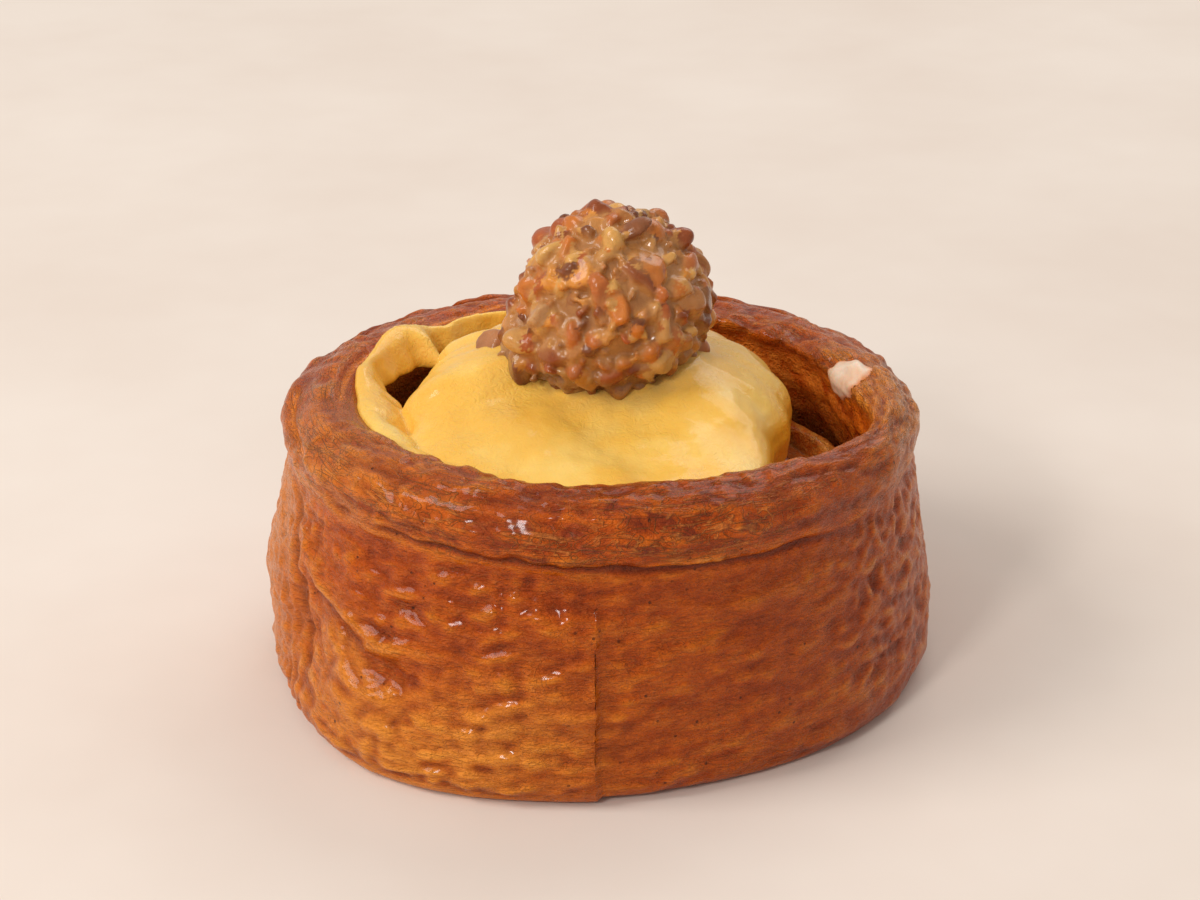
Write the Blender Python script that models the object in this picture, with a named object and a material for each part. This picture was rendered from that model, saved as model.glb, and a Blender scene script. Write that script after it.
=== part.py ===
"""Danish pastry: a round cup of coiled croissant dough, filled with custard, with a ball of glazed nuts on top.

Units are metres and +Z is up. The origin is the middle of the base, on the face that rests on the table.
Azimuths are in degrees, counted from +X towards +Y, so the front of the pastry, with its seam, is at 270.
"""

import math

import bmesh
import bpy
from mathutils import Vector, noise

MM = 0.001

# The drum, from the table up to the crease under the rim.
BASE_RADIUS = 54.7 * MM
WALL_TAPER = 3.4 * MM
WALL_BELLY = 0.9 * MM
FOOT_ROUNDING = 4.0 * MM
CREASE_HEIGHT = 38.6 * MM
SEAM_AZIMUTH = 269.4
SEAM_STEP = 1.3 * MM
SEAM_WIDTH = 1.1
SEAM_REACH = 35.0

# The rim, which rose over the baking ring and rolled outwards.
RIM_RADIUS = 52.3 * MM
RIM_BULGE_HEIGHT = 43.2 * MM
RIM_HEIGHT = 48.4 * MM
RIM_INNER_RADIUS = 38.6 * MM
RIM_INNER_HEIGHT = 45.4 * MM
THIN_AZIMUTH = 335.0
THIN_WIDTH = 28.0

# The coil inside, and the open channel between it and the wall.
COIL_HEIGHT = 33.5 * MM
COIL_RADIUS = 36.0 * MM
COIL_RIDGE = 1.6 * MM
COIL_GROOVE = 2.2 * MM
CHANNEL_FLOOR = 14.0 * MM
CHANNEL_UNDERCUT = 2.6 * MM
CHANNEL_START = -22.0
CHANNEL_END = 204.0
CHANNEL_FADE = 18.0

# The custard, and its smear on the left of the cup.
CUSTARD_HEIGHT = 54.5 * MM
CUSTARD_RADIUS = 30.6 * MM
CUSTARD_EDGE_HEIGHT = 41.5 * MM
CUSTARD_FRONT_LIFT = 2.3 * MM
CUSTARD_LEFT_MERGE = (178.0, 200.0)
CUSTARD_RIGHT_MERGE = (290.0, 338.0)
SMEAR_START = 108.0
SMEAR_END = 244.0
SMEAR_THICKNESS = 2.2 * MM

# The ball of chopped nuts.
BALL_RADII = Vector((16.0, 16.6, 16.6)) * MM
BALL_CENTRE = Vector((2.4, 0.6, 61.0)) * MM
BALL_LUMP_SIZE = 6.0 * MM
BALL_LUMP_DEPTH = 2.4 * MM
BALL_SLUMP = 4.6 * MM
BALL_SUBDIVISIONS = 4

CONTACT_GAP = 0.3 * MM
CUP_COLUMNS = 80
CUSTARD_COLUMNS = 64


def swell(azimuth, centre, width):
    """A smooth bump of height 1 at the azimuth centre, down to about a third at width degrees to each side."""
    away = (azimuth - centre + 180.0) % 360.0 - 180.0
    return math.exp(-((away / width) ** 2))


def fade(value, start, end):
    """Eases from 0 at start to 1 at end."""
    share = min(1.0, max(0.0, (value - start) / (end - start)))
    return share * share * (3.0 - 2.0 * share)


def place(azimuth, radius, height):
    turn = math.radians(azimuth)
    return Vector((radius * math.cos(turn), radius * math.sin(turn), height))


def channel_share(azimuth):
    """1 where the channel lies open beside the coil, 0 in front, where coil and wall are one mass."""
    turned = (azimuth - CHANNEL_START) % 360.0
    length = (CHANNEL_END - CHANNEL_START) % 360.0
    return fade(turned, 0.0, CHANNEL_FADE) * (1.0 - fade(turned, length - CHANNEL_FADE, length))


def seam_lift(azimuth):
    """The strip's outer end lies over the turn below it, so the wall steps up just left of the seam."""
    before = (SEAM_AZIMUTH - azimuth) % 360.0
    return SEAM_STEP * math.exp(-before / SEAM_REACH) if before < 180.0 else 0.0


def wall_radius(azimuth, height):
    """The drum's side. It leans in a little, bulges at the front left foot and has a folded lobe at the left."""
    up = height / CREASE_HEIGHT
    radius = BASE_RADIUS - WALL_TAPER * up + WALL_BELLY * math.sin(math.pi * up)
    foot = (1.0 - up) ** 1.3
    radius += foot * 5.6 * MM * swell(azimuth, 232.0, 26.0)
    radius += foot * 2.0 * MM * swell(azimuth, 5.0, 35.0)
    radius -= foot * 1.4 * MM * swell(azimuth, 290.0, 18.0)
    lobe = math.sin(math.pi * min(1.0, up * 1.1)) ** 2
    radius += lobe * 1.9 * MM * swell(azimuth, 184.0, 18.0)
    dent = math.exp(-(((height - 15.0 * MM) / (7.0 * MM)) ** 2))
    radius -= dent * 2.6 * MM * swell(azimuth, 211.0, 8.0)
    return radius + seam_lift(azimuth) * (1.0 - up**4)


def rim_inner_radius(azimuth):
    """The rim is wide where two turns lie together and narrow at the right front, where they part."""
    narrow = 8.0 * MM * swell(azimuth, THIN_AZIMUTH, THIN_WIDTH)
    front = 3.0 * MM * swell(azimuth, 280.0, 26.0)
    return RIM_INNER_RADIUS + narrow + front


def rim_height(azimuth):
    return RIM_HEIGHT + 1.6 * MM * swell(azimuth, 275.0, 60.0) - 2.8 * MM * swell(azimuth, 90.0, 75.0)


def rim_section(azimuth):
    """The rim from its inner edge over the crest and down to the crease, as (radius, height)."""
    inner = rim_inner_radius(azimuth)
    outer = RIM_RADIUS + 0.9 * MM * swell(azimuth, 270.0, 40.0) - 1.1 * MM * swell(azimuth, 90.0, 70.0)
    top = rim_height(azimuth)
    edge = RIM_INNER_HEIGHT + 1.4 * MM * swell(azimuth, THIN_AZIMUTH, THIN_WIDTH)
    width = outer - inner
    crease = wall_radius(azimuth, CREASE_HEIGHT)
    return [
        (inner, edge),
        (inner + 0.10 * width, edge + 0.62 * (top - edge)),
        (inner + 0.28 * width, edge + 0.93 * (top - edge)),
        (inner + 0.46 * width, top),
        (inner + 0.66 * width, top - 0.7 * MM),
        (inner + 0.84 * width, top - 2.3 * MM),
        (inner + 0.96 * width, RIM_BULGE_HEIGHT + 1.4 * MM),
        (outer, RIM_BULGE_HEIGHT),
        (outer - 0.5 * MM, RIM_BULGE_HEIGHT - 2.6 * MM),
        (crease, CREASE_HEIGHT),
    ]


def inner_wall_radius(azimuth):
    """The cup's inner side below the rim, which overhangs it except where the rim is thin."""
    return rim_inner_radius(azimuth) + CHANNEL_UNDERCUT * (1.0 - 0.8 * swell(azimuth, THIN_AZIMUTH, THIN_WIDTH))


def coil_radius(azimuth):
    """The inner turn's side. It leaves the wall at the right front and winds inwards towards the back."""
    return COIL_RADIUS + 8.0 * MM * swell(azimuth, 345.0, 26.0) - 2.6 * MM * swell(azimuth, 165.0, 45.0)


def coil_section(azimuth):
    """The coil's top and the channel beside it, from the middle out to the rim's inner edge."""
    opened = channel_share(azimuth)
    inner_wall = inner_wall_radius(azimuth)
    coil = min(coil_radius(azimuth), inner_wall - 1.0 * MM)
    floor = COIL_HEIGHT - opened * (COIL_HEIGHT - CHANNEL_FLOOR)
    ridge = opened * COIL_RIDGE
    groove = opened * COIL_GROOVE
    middle = 0.5 * (coil + inner_wall)
    return [
        (12.0 * MM, COIL_HEIGHT),
        (24.0 * MM, COIL_HEIGHT),
        (coil - 6.6 * MM, COIL_HEIGHT),
        (coil - 5.2 * MM, COIL_HEIGHT - groove),
        (coil - 3.6 * MM, COIL_HEIGHT + ridge),
        (coil - 1.4 * MM, COIL_HEIGHT + 0.9 * ridge),
        (coil, COIL_HEIGHT - 0.12 * (COIL_HEIGHT - floor)),
        (coil + 0.1 * MM, floor + 0.1 * (COIL_HEIGHT - floor)),
        (middle, floor),
        (inner_wall, floor + 1.2 * MM),
        (inner_wall, floor + 0.5 * (RIM_INNER_HEIGHT - floor)),
        (0.5 * (inner_wall + rim_inner_radius(azimuth)), RIM_INNER_HEIGHT - 3.0 * MM),
    ]


def foot_section(azimuth):
    """The wall below the crease and its rounded foot, down to the edge of the flat base."""
    heights = [32.0 * MM, 26.0 * MM, 20.0 * MM, 15.0 * MM, 10.0 * MM, 6.5 * MM]
    points = [(wall_radius(azimuth, height), height) for height in heights]
    ground = wall_radius(azimuth, FOOT_ROUNDING)
    for step in range(4):
        turn = math.radians(30.0 * step)
        sunk = FOOT_ROUNDING * (1.0 - math.sin(turn))
        pulled_in = FOOT_ROUNDING * (1.0 - math.cos(turn))
        points.append((ground - pulled_in, sunk))
    return points


def make_material(name, colour, roughness):
    material = bpy.data.materials.new(name)
    material.use_nodes = True
    shader = material.node_tree.nodes["Principled BSDF"]
    shader.inputs["Base Color"].default_value = (*colour, 1.0)
    shader.inputs["Roughness"].default_value = roughness
    return material


def loft(name, columns, material, pole=None, ring=True):
    """Joins columns of points into one closed skin.

    Each column starts at the pole, if there is one, and its last points bound a flat face. Where the columns
    don't go all the way round, each one is a closed loop and the first and last are capped.
    """
    mesh = bpy.data.meshes.new(name)
    build = bmesh.new()
    rows = [[build.verts.new(point) for point in column] for column in columns]
    top = build.verts.new(pole) if pole else None
    pairs = list(zip(rows, rows[1:] + rows[:1])) if ring else list(zip(rows, rows[1:]))
    for here, there in pairs:
        if top:
            build.faces.new((top, here[0], there[0]))
        count = len(here) if not ring else len(here) - 1
        for low in range(count):
            high = (low + 1) % len(here)
            build.faces.new((here[low], here[high], there[high], there[low]))
    if ring:
        build.faces.new([row[-1] for row in rows])
    else:
        build.faces.new(rows[0])
        build.faces.new(rows[-1])
    bmesh.ops.recalc_face_normals(build, faces=build.faces)
    build.to_mesh(mesh)
    build.free()
    mesh.shade_smooth()
    mesh.set_sharp_from_angle(angle=math.radians(50.0))
    mesh.materials.append(material)
    made = bpy.data.objects.new(name, mesh)
    PARTS.objects.link(made)
    return made


def spread(count):
    return [360.0 * step / count for step in range(count)]


def make_cup(material):
    """The dough: wall, rim, channel and coil in one piece, with two columns close together at the seam's step."""
    azimuths = [a for a in spread(CUP_COLUMNS) if not 0.0 <= a - SEAM_AZIMUTH <= SEAM_WIDTH]
    azimuths = sorted(azimuths + [SEAM_AZIMUTH, SEAM_AZIMUTH + SEAM_WIDTH])
    columns = []
    for azimuth in azimuths:
        section = coil_section(azimuth) + rim_section(azimuth) + foot_section(azimuth)
        columns.append([place(azimuth, radius, height) for radius, height in section])
    return loft("pastry", columns, material, pole=Vector((0.0, 0.0, COIL_HEIGHT)))


def custard_reach(azimuth):
    """1 in front, where the custard is spread as far as the rim, and 0 where it stands free."""
    return fade(azimuth, *CUSTARD_LEFT_MERGE) * (1.0 - fade(azimuth, *CUSTARD_RIGHT_MERGE))


def custard_radius(azimuth):
    """The mound's outline: free at the right and back, reaching the wall in front."""
    reach = custard_reach(azimuth)
    wall = rim_inner_radius(azimuth) - 2.0 * CONTACT_GAP
    free = CUSTARD_RADIUS + 1.2 * MM * swell(azimuth, 0.0, 40.0)
    return free + reach * (wall - free)


def custard_section(azimuth):
    """The mound from near its top, over its shoulder and under to its flat base, as (radius, height)."""
    radius = custard_radius(azimuth)
    lean = 1.5 * MM * swell(azimuth, 90.0, 70.0) - 1.2 * MM * swell(azimuth, 270.0, 60.0)
    flat = custard_reach(azimuth)
    edge = CUSTARD_EDGE_HEIGHT + flat * CUSTARD_FRONT_LIFT
    points = []
    for share in (0.2, 0.38, 0.55, 0.7, 0.83, 0.93, 0.985):
        domed = 1.0 - math.sqrt(1.0 - share**2.4)
        drop = (CUSTARD_HEIGHT - edge) * (domed + flat * (share - domed))
        points.append((share * radius, CUSTARD_HEIGHT - drop + lean * math.sin(math.pi * share)))
    base = COIL_HEIGHT + CONTACT_GAP
    points.append((radius, edge))
    points.append((radius - 0.5 * MM, 0.5 * (edge + base)))
    points.append((radius - 2.4 * MM, base + COIL_RIDGE + CONTACT_GAP))
    points.append((min(radius - 4.0 * MM, coil_radius(azimuth) - 7.2 * MM), base))
    return points


def make_custard(material):
    """The mound, joined to the smear that it left on the cup's inner wall."""
    columns = []
    for azimuth in spread(CUSTARD_COLUMNS):
        section = custard_section(azimuth)
        columns.append([place(azimuth, radius, height) for radius, height in section])
    custard = loft("custard", columns, material, pole=Vector((0.0, 0.0, CUSTARD_HEIGHT)))
    smear = make_smear(material)
    combine(custard, smear, "UNION")
    return custard


def smear_inner_reach(azimuth):
    """How far the smear comes in over the channel: a narrow bridge at the back left, and the mound in front."""
    bridge = 6.0 * MM * swell(azimuth, 145.0, 5.0)
    front = 6.0 * MM * fade(azimuth, 174.0, 196.0)
    return 3.0 * MM + bridge + front


def make_smear(material):
    """A thin sloping shelf of custard along the left of the cup, under the rim's inner edge."""
    loops = []
    count = 36
    for step in range(count + 1):
        share = step / count
        azimuth = SMEAR_START + share * (SMEAR_END - SMEAR_START)
        taper = 0.35 + 0.65 * math.sin(math.pi * share) ** 0.5
        outer = rim_inner_radius(azimuth) - CONTACT_GAP - 0.2 * MM
        inner = outer - taper * smear_inner_reach(azimuth)
        high = RIM_INNER_HEIGHT - 0.4 * MM
        low = high - 4.6 * MM
        thick = SMEAR_THICKNESS
        loop = [
            (outer, high),
            (0.5 * (outer + inner), 0.5 * (high + low) + 0.9 * MM),
            (inner, low),
            (inner - 0.1 * MM, low - thick),
            (0.5 * (outer + inner) + 0.4 * MM, 0.5 * (high + low) - thick),
            (outer, high - 1.3 * thick),
        ]
        loops.append([place(azimuth, radius, height) for radius, height in loop])
    return loft("smear", loops, material, ring=False)


def make_ball(name, grow, material, collection):
    """The nut ball: rounded nuggets of about one lump size, packed into an uneven ball."""
    build = bmesh.new()
    bmesh.ops.create_icosphere(build, subdivisions=BALL_SUBDIVISIONS, radius=1.0)
    for vert in build.verts:
        outward = vert.co.normalized()
        surface = Vector(a * b for a, b in zip(outward, BALL_RADII))
        nearest = noise.voronoi(surface / BALL_LUMP_SIZE)[0][0]
        slump = BALL_SLUMP * max(0.0, -outward.x) * math.exp(-(((outward.z + 0.42) / 0.34) ** 2))
        shrink = BALL_LUMP_DEPTH * (nearest - 0.35)
        vert.co = BALL_CENTRE + surface + outward * (slump + grow - shrink)
    mesh = bpy.data.meshes.new(name)
    build.to_mesh(mesh)
    build.free()
    mesh.shade_smooth()
    mesh.materials.append(material)
    ball = bpy.data.objects.new(name, mesh)
    collection.objects.link(ball)
    return ball


def combine(target, tool, operation):
    """Applies a Boolean of tool on target, and removes the tool."""
    modifier = target.modifiers.new(operation.lower(), "BOOLEAN")
    modifier.operation = operation
    modifier.object = tool
    depsgraph = bpy.context.evaluated_depsgraph_get()
    result = bpy.data.meshes.new_from_object(target.evaluated_get(depsgraph))
    target.modifiers.clear()
    target.data = result
    bpy.data.objects.remove(tool)


for old in list(bpy.data.objects):
    bpy.data.objects.remove(old)
PARTS = bpy.data.collections.new("danish_pastry")
CUTTERS = bpy.data.collections.new("cutters")
bpy.context.scene.collection.children.link(PARTS)
bpy.context.scene.collection.children.link(CUTTERS)

CRUST = make_material("crust", (0.46, 0.14, 0.025), 0.4)
CUSTARD = make_material("custard", (0.80, 0.55, 0.16), 0.35)
NUTS = make_material("glazed_nuts", (0.42, 0.24, 0.11), 0.35)

make_cup(CRUST)
filling = make_custard(CUSTARD)
make_ball("nut_ball", 0.0, NUTS, PARTS)
hollow = make_ball("ball_hollow", CONTACT_GAP + 0.2 * MM, NUTS, CUTTERS)
combine(filling, hollow, "DIFFERENCE")
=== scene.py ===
"""Looks of the danish pastry: laminated crust, custard, ball of glazed nuts and a smear of icing.

Lengths are in millimetres up to the point where a mesh is made, in metres. Azimuths are in degrees, from +X
towards +Y, so the front of the pastry, with its seam, is at 270.
"""

import math
from itertools import product

import bmesh
import bpy
import numpy as np
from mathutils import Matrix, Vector, kdtree


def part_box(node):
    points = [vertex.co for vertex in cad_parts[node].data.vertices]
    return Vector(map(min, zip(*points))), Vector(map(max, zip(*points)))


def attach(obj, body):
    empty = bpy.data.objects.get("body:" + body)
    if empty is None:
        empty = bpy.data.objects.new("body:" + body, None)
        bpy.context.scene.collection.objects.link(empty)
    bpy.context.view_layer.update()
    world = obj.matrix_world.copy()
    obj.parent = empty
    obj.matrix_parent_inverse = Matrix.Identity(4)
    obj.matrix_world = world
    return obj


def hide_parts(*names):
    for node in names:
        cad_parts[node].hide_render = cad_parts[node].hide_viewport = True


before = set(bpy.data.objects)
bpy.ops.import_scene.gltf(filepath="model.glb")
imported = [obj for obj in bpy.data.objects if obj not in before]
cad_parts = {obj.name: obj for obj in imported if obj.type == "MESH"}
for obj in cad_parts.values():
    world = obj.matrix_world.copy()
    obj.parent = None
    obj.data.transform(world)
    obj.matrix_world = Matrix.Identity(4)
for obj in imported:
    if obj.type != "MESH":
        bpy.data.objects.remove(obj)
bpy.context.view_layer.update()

MM = 0.001

# Sizes of the crust, close to the CAD model's.
BASE_RADIUS = 54.7
WALL_TAPER = 3.4
WALL_BELLY = 0.9
FOOT_ROUNDING = 4.0
CREASE_HEIGHT = 38.6
SEAM_AZIMUTH = 269.4
SEAM_STEP = 1.3
SEAM_WIDTH = 1.1
SEAM_REACH = 35.0
RIM_RADIUS = 52.3
RIM_BULGE_HEIGHT = 43.2
RIM_FRONT_RISE = 1.6
RIM_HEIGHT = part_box("pastry")[1].z / MM - RIM_FRONT_RISE
RIM_INNER_RADIUS = 38.6
RIM_INNER_HEIGHT = 45.4
THIN_AZIMUTH = 335.0
THIN_WIDTH = 28.0
COIL_HEIGHT = 33.5
COIL_RADIUS = 36.0
COIL_RIDGE = 1.6
COIL_GROOVE = 2.2
CHANNEL_FLOOR = 14.0
CHANNEL_UNDERCUT = 2.6
CHANNEL_START = -22.0
CHANNEL_END = 204.0
CHANNEL_FADE = 18.0
# Where the wall's foot swells or draws in: azimuth, width and millimetres.
FOOT_SWELLS = [(232.0, 26.0, 5.6), (5.0, 35.0, 2.0), (290.0, 18.0, -1.4)]

# Sizes of the custard. Its left edge is freer than in the CAD model.
CUSTARD_HEIGHT = 54.5
CUSTARD_RADIUS = 30.6
CUSTARD_EDGE_HEIGHT = 41.5
CUSTARD_FRONT_LIFT = 2.3
CUSTARD_LEFT_MERGE = (190.0, 228.0)
CUSTARD_RIGHT_MERGE = (290.0, 338.0)
SMEAR_START = 108.0
SMEAR_END = 244.0

# The nut ball.
BALL_CENTRE = np.array([2.4, 0.6, 61.0])
BALL_RADII = np.array([16.0, 16.6, 16.6])
BALL_SLUMP = 4.6

# Seeds of the random draws.
NOISE_SEED = 7
NUT_SEED = 23
CRUMB_SEED = 5

# Fineness of the meshes.
CRUST_COLUMNS = 800
CRUST_ROW = 0.42
CUSTARD_VOXEL = 0.42
NUT_VOXEL = 0.34
CRUMB_VOXEL = 0.25

# Radius at which marks on the crust are measured round the pastry.
FLOW_RADIUS = 50.0


# ---- numbers and noise


def wrapped(degrees):
    """The same angle, between -180 and 180."""
    return (degrees + 180.0) % 360.0 - 180.0


def bell(value, width):
    """1 where the value is 0, falling smoothly to either side."""
    return np.exp(-((value / width) ** 2))


def swell(azimuth, centre, width):
    """A smooth bump of height 1 at the azimuth centre."""
    return bell(wrapped(azimuth - centre), width)


def fade(value, start, end):
    """Eases from 0 at start to 1 at end."""
    share = np.clip((value - start) / (end - start), 0.0, 1.0)
    return share * share * (3.0 - 2.0 * share)


def between(value, low, high, soft):
    """1 between low and high, with an edge that is soft to both sides."""
    return fade(value, low - soft, low + soft) * (1.0 - fade(value, high - soft, high + soft))


DICE = np.random.default_rng(NOISE_SEED)
SHUFFLE = DICE.permutation(256)
LEANS = DICE.normal(size=(256, 3))
LEANS /= np.linalg.norm(LEANS, axis=1)[:, None]


def perlin(points):
    """Gradient noise between about -1 and 1, at points of shape (..., 3)."""
    shape = points.shape[:-1]
    points = points.reshape(-1, 3)
    cell = np.floor(points).astype(int)
    part = points - cell
    ease = part**3 * (part * (part * 6.0 - 15.0) + 10.0)
    total = np.zeros(len(points))
    for corner in product((0, 1), repeat=3):
        turned = SHUFFLE[(cell[:, 0] + corner[0]) & 255]
        turned = SHUFFLE[(turned + cell[:, 1] + corner[1]) & 255]
        turned = SHUFFLE[(turned + cell[:, 2] + corner[2]) & 255]
        pull = (LEANS[turned] * (part - corner)).sum(axis=1)
        weight = np.where(corner, ease, 1.0 - ease).prod(axis=1)
        total += pull * weight
    return 1.5 * total.reshape(shape)


def round_points(radius, height, azimuth):
    """Points at a radius, height and azimuth, with their coordinates on the last axis."""
    turn = np.radians(azimuth)
    return np.stack(np.broadcast_arrays(radius * np.cos(turn), radius * np.sin(turn), height), axis=-1)


def layered(points, octaves=3, gain=0.5):
    """Several octaves of noise, each twice as fine."""
    total = 0.0
    for octave in range(octaves):
        total = total + gain**octave * perlin(points * 2.0**octave + 17.3 * octave)
    return total


def creased(points, octaves=2, gain=0.5):
    """Noise with sharp crests, from 0 in its hollows to 1 along the crests."""
    total = 0.0
    for octave in range(octaves):
        sharp = 1.0 - 2.0 * np.abs(perlin(points * 2.0**octave + 9.1 * octave))
        total = total + gain**octave * sharp
    return total / sum(gain**octave for octave in range(octaves))


# ---- form of the crust


def channel_share(azimuth):
    """1 where the channel lies open beside the coil, 0 in front, where coil and wall are one mass."""
    turned = (azimuth - CHANNEL_START) % 360.0
    return route_mask(turned, 0.0, CHANNEL_END - CHANNEL_START, CHANNEL_FADE)


def seam_lift(azimuth):
    """The outer end of the strip lies on the turn below it: its edge is pressed down over SEAM_WIDTH."""
    before = (SEAM_AZIMUTH + SEAM_WIDTH - azimuth) % 360.0
    lift = SEAM_STEP * np.exp(-before / SEAM_REACH) * fade(before, 0.0, SEAM_WIDTH)
    return np.where(before < 180.0, lift, 0.0)


def wall_radius(azimuth, height):
    """The drum's side: its foot swells at the front left, and a lobe and a dent lie on the left."""
    up = height / CREASE_HEIGHT
    radius = BASE_RADIUS - WALL_TAPER * up + WALL_BELLY * math.sin(math.pi * up)
    foot = (1.0 - up) ** 1.3
    for centre, width, size in FOOT_SWELLS:
        radius = radius + foot * size * swell(azimuth, centre, width)
    lobe = 1.9 * math.sin(math.pi * min(1.0, up * 1.1)) ** 2 * swell(azimuth, 184.0, 18.0)
    dent = 2.6 * bell(height - 15.0, 7.0) * swell(azimuth, 211.0, 8.0)
    return radius + lobe - dent + seam_lift(azimuth) * (1.0 - up**4)


def rim_inner_radius(azimuth):
    thin = 8.0 * swell(azimuth, THIN_AZIMUTH, THIN_WIDTH)
    return RIM_INNER_RADIUS + thin + 3.0 * swell(azimuth, 280.0, 26.0)


def rim_outer_radius(azimuth):
    return RIM_RADIUS + 0.9 * swell(azimuth, 270.0, 40.0) - 1.1 * swell(azimuth, 90.0, 70.0)


def rim_height(azimuth):
    front = RIM_FRONT_RISE * swell(azimuth, 275.0, 60.0)
    return RIM_HEIGHT + front - 2.8 * swell(azimuth, 90.0, 75.0)


def rim_section(azimuth):
    """The rim from its inner edge over its top and its bulge to the crease, as (radius, height) points."""
    inner = rim_inner_radius(azimuth)
    outer = rim_outer_radius(azimuth)
    width = outer - inner
    top = rim_height(azimuth)
    edge = RIM_INNER_HEIGHT + 1.4 * swell(azimuth, THIN_AZIMUTH, THIN_WIDTH)
    return [
        (inner, edge),
        (inner + 0.10 * width, edge + 0.62 * (top - edge)),
        (inner + 0.28 * width, edge + 0.93 * (top - edge)),
        (inner + 0.46 * width, top),
        (inner + 0.66 * width, top - 0.7),
        (inner + 0.84 * width, top - 2.3),
        (inner + 0.96 * width, RIM_BULGE_HEIGHT + 1.4),
        (outer, RIM_BULGE_HEIGHT),
        (outer - 0.5, RIM_BULGE_HEIGHT - 2.6),
        (wall_radius(azimuth, CREASE_HEIGHT), CREASE_HEIGHT),
    ]


def inner_wall_radius(azimuth):
    undercut = CHANNEL_UNDERCUT * (1.0 - 0.8 * swell(azimuth, THIN_AZIMUTH, THIN_WIDTH))
    return rim_inner_radius(azimuth) + undercut


def coil_radius(azimuth):
    return COIL_RADIUS + 8.0 * swell(azimuth, 345.0, 26.0) - 2.6 * swell(azimuth, 165.0, 45.0)


def coil_section(azimuth):
    """The coil's top and the channel beside it, from the middle out to just under the rim's inner edge."""
    opened = channel_share(azimuth)
    wall = inner_wall_radius(azimuth)
    coil = np.minimum(coil_radius(azimuth), wall - 1.0)
    floor = COIL_HEIGHT - opened * (COIL_HEIGHT - CHANNEL_FLOOR)
    ridge = opened * COIL_RIDGE
    deep = COIL_HEIGHT - floor
    return [
        (12.0, COIL_HEIGHT),
        (24.0, COIL_HEIGHT),
        (coil - 6.6, COIL_HEIGHT),
        (coil - 5.2, COIL_HEIGHT - opened * COIL_GROOVE),
        (coil - 3.6, COIL_HEIGHT + ridge),
        (coil - 1.4, COIL_HEIGHT + 0.9 * ridge),
        (coil, COIL_HEIGHT - 0.12 * deep),
        (coil + 0.1, floor + 0.1 * deep),
        (0.5 * (coil + wall), floor),
        (wall, floor + 1.2),
        (wall, floor + 0.5 * (RIM_INNER_HEIGHT - floor)),
        (0.5 * (wall + rim_inner_radius(azimuth)), RIM_INNER_HEIGHT - 3.0),
    ]


def foot_section(azimuth):
    """The wall below the crease, its rounded foot and the flat base in to the middle."""
    points = [(wall_radius(azimuth, height), height) for height in (32.0, 26.0, 20.0, 15.0, 10.0, 6.5)]
    ground = wall_radius(azimuth, FOOT_ROUNDING)
    for step in range(4):
        turn = math.radians(30.0 * step)
        inset = FOOT_ROUNDING * (1.0 - math.cos(turn))
        points.append((ground - inset, FOOT_ROUNDING * (1.0 - math.sin(turn))))
    return points


def resample(control, spacing):
    """Rows at an even spacing along the section, their places, and the places of its control points."""
    lengths = np.linalg.norm(np.diff(control, axis=0), axis=2).mean(axis=1)
    marks = np.concatenate([[0.0], np.cumsum(lengths)])
    across = np.linspace(0.0, marks[-1], int(round(marks[-1] / spacing)) + 1)
    where = np.interp(across, marks, np.arange(len(marks)))
    low = np.minimum(where.astype(int), len(control) - 2)
    part = (where - low)[:, None, None]
    rows = control[low] * (1.0 - part) + control[low + 1] * part
    return rows, across, marks


def soften(rows, passes):
    """Rounds the section's corners, and keeps its two ends."""
    for _ in range(passes):
        rows[1:-1] = 0.25 * rows[:-2] + 0.5 * rows[1:-1] + 0.25 * rows[2:]
    return rows


def grid_normals(points):
    """Outward normals of a grid whose columns run round the pastry."""
    along = np.roll(points, -1, axis=1) - np.roll(points, 1, axis=1)
    down = np.gradient(points, axis=0)
    normals = np.cross(along, down)
    return -normals / np.maximum(np.linalg.norm(normals, axis=2, keepdims=True), 1e-9)


class Surface:
    """The crust as a grid of points before its relief, with what the relief and the paint need."""

    def __init__(self):
        even = np.arange(CRUST_COLUMNS) * 360.0 / CRUST_COLUMNS
        even = even[np.abs(even - SEAM_AZIMUTH) > 0.5]
        self.azimuth = np.sort(np.concatenate([even, SEAM_AZIMUTH + np.array([-0.32, -0.03, 0.12, 0.4])]))
        coil = coil_section(self.azimuth)
        section = coil + rim_section(self.azimuth) + foot_section(self.azimuth)
        control = np.array([np.stack(np.broadcast_arrays(*point, self.azimuth)[:2], axis=-1)
                            for point in section])
        rows, self.across, marks = resample(control, CRUST_ROW)
        rows = soften(rows, 5)
        self.edge, self.bulge, self.crease = marks[len(coil) + np.array([0, 7, 9])]
        self.ground = marks[-1]
        self.radius = rows[:, :, 0]
        self.height = rows[:, :, 1]
        self.points = round_points(self.radius, self.height, self.azimuth)
        self.normals = grid_normals(self.points)
        self.az = np.broadcast_to(self.azimuth[None, :], self.radius.shape)
        self.s = np.broadcast_to(self.across[:, None], self.radius.shape)
        self.flow = round_points(FLOW_RADIUS, self.s, self.azimuth)


def stretched(flow, long, short, shift=0.0):
    """Flow coordinates scaled for marks that are long around the pastry and short across it."""
    return np.stack([flow[..., 0] / long, flow[..., 1] / long, flow[..., 2] / short], axis=-1) + shift


def route_mask(azimuth, start, end, soft):
    """1 along the route, fading in and out inside its two ends."""
    return fade(azimuth, start, start + soft) * (1.0 - fade(azimuth, end - soft, end))


def furrow(value, azimuth, route, width, soft=5.0):
    """1 along a line given as (azimuth, value) points, falling to 0 at either side."""
    stops, levels = zip(*route)
    line = np.interp(azimuth, stops, levels)
    return bell(value - line, width) * route_mask(azimuth, stops[0], stops[-1], soft)


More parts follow.
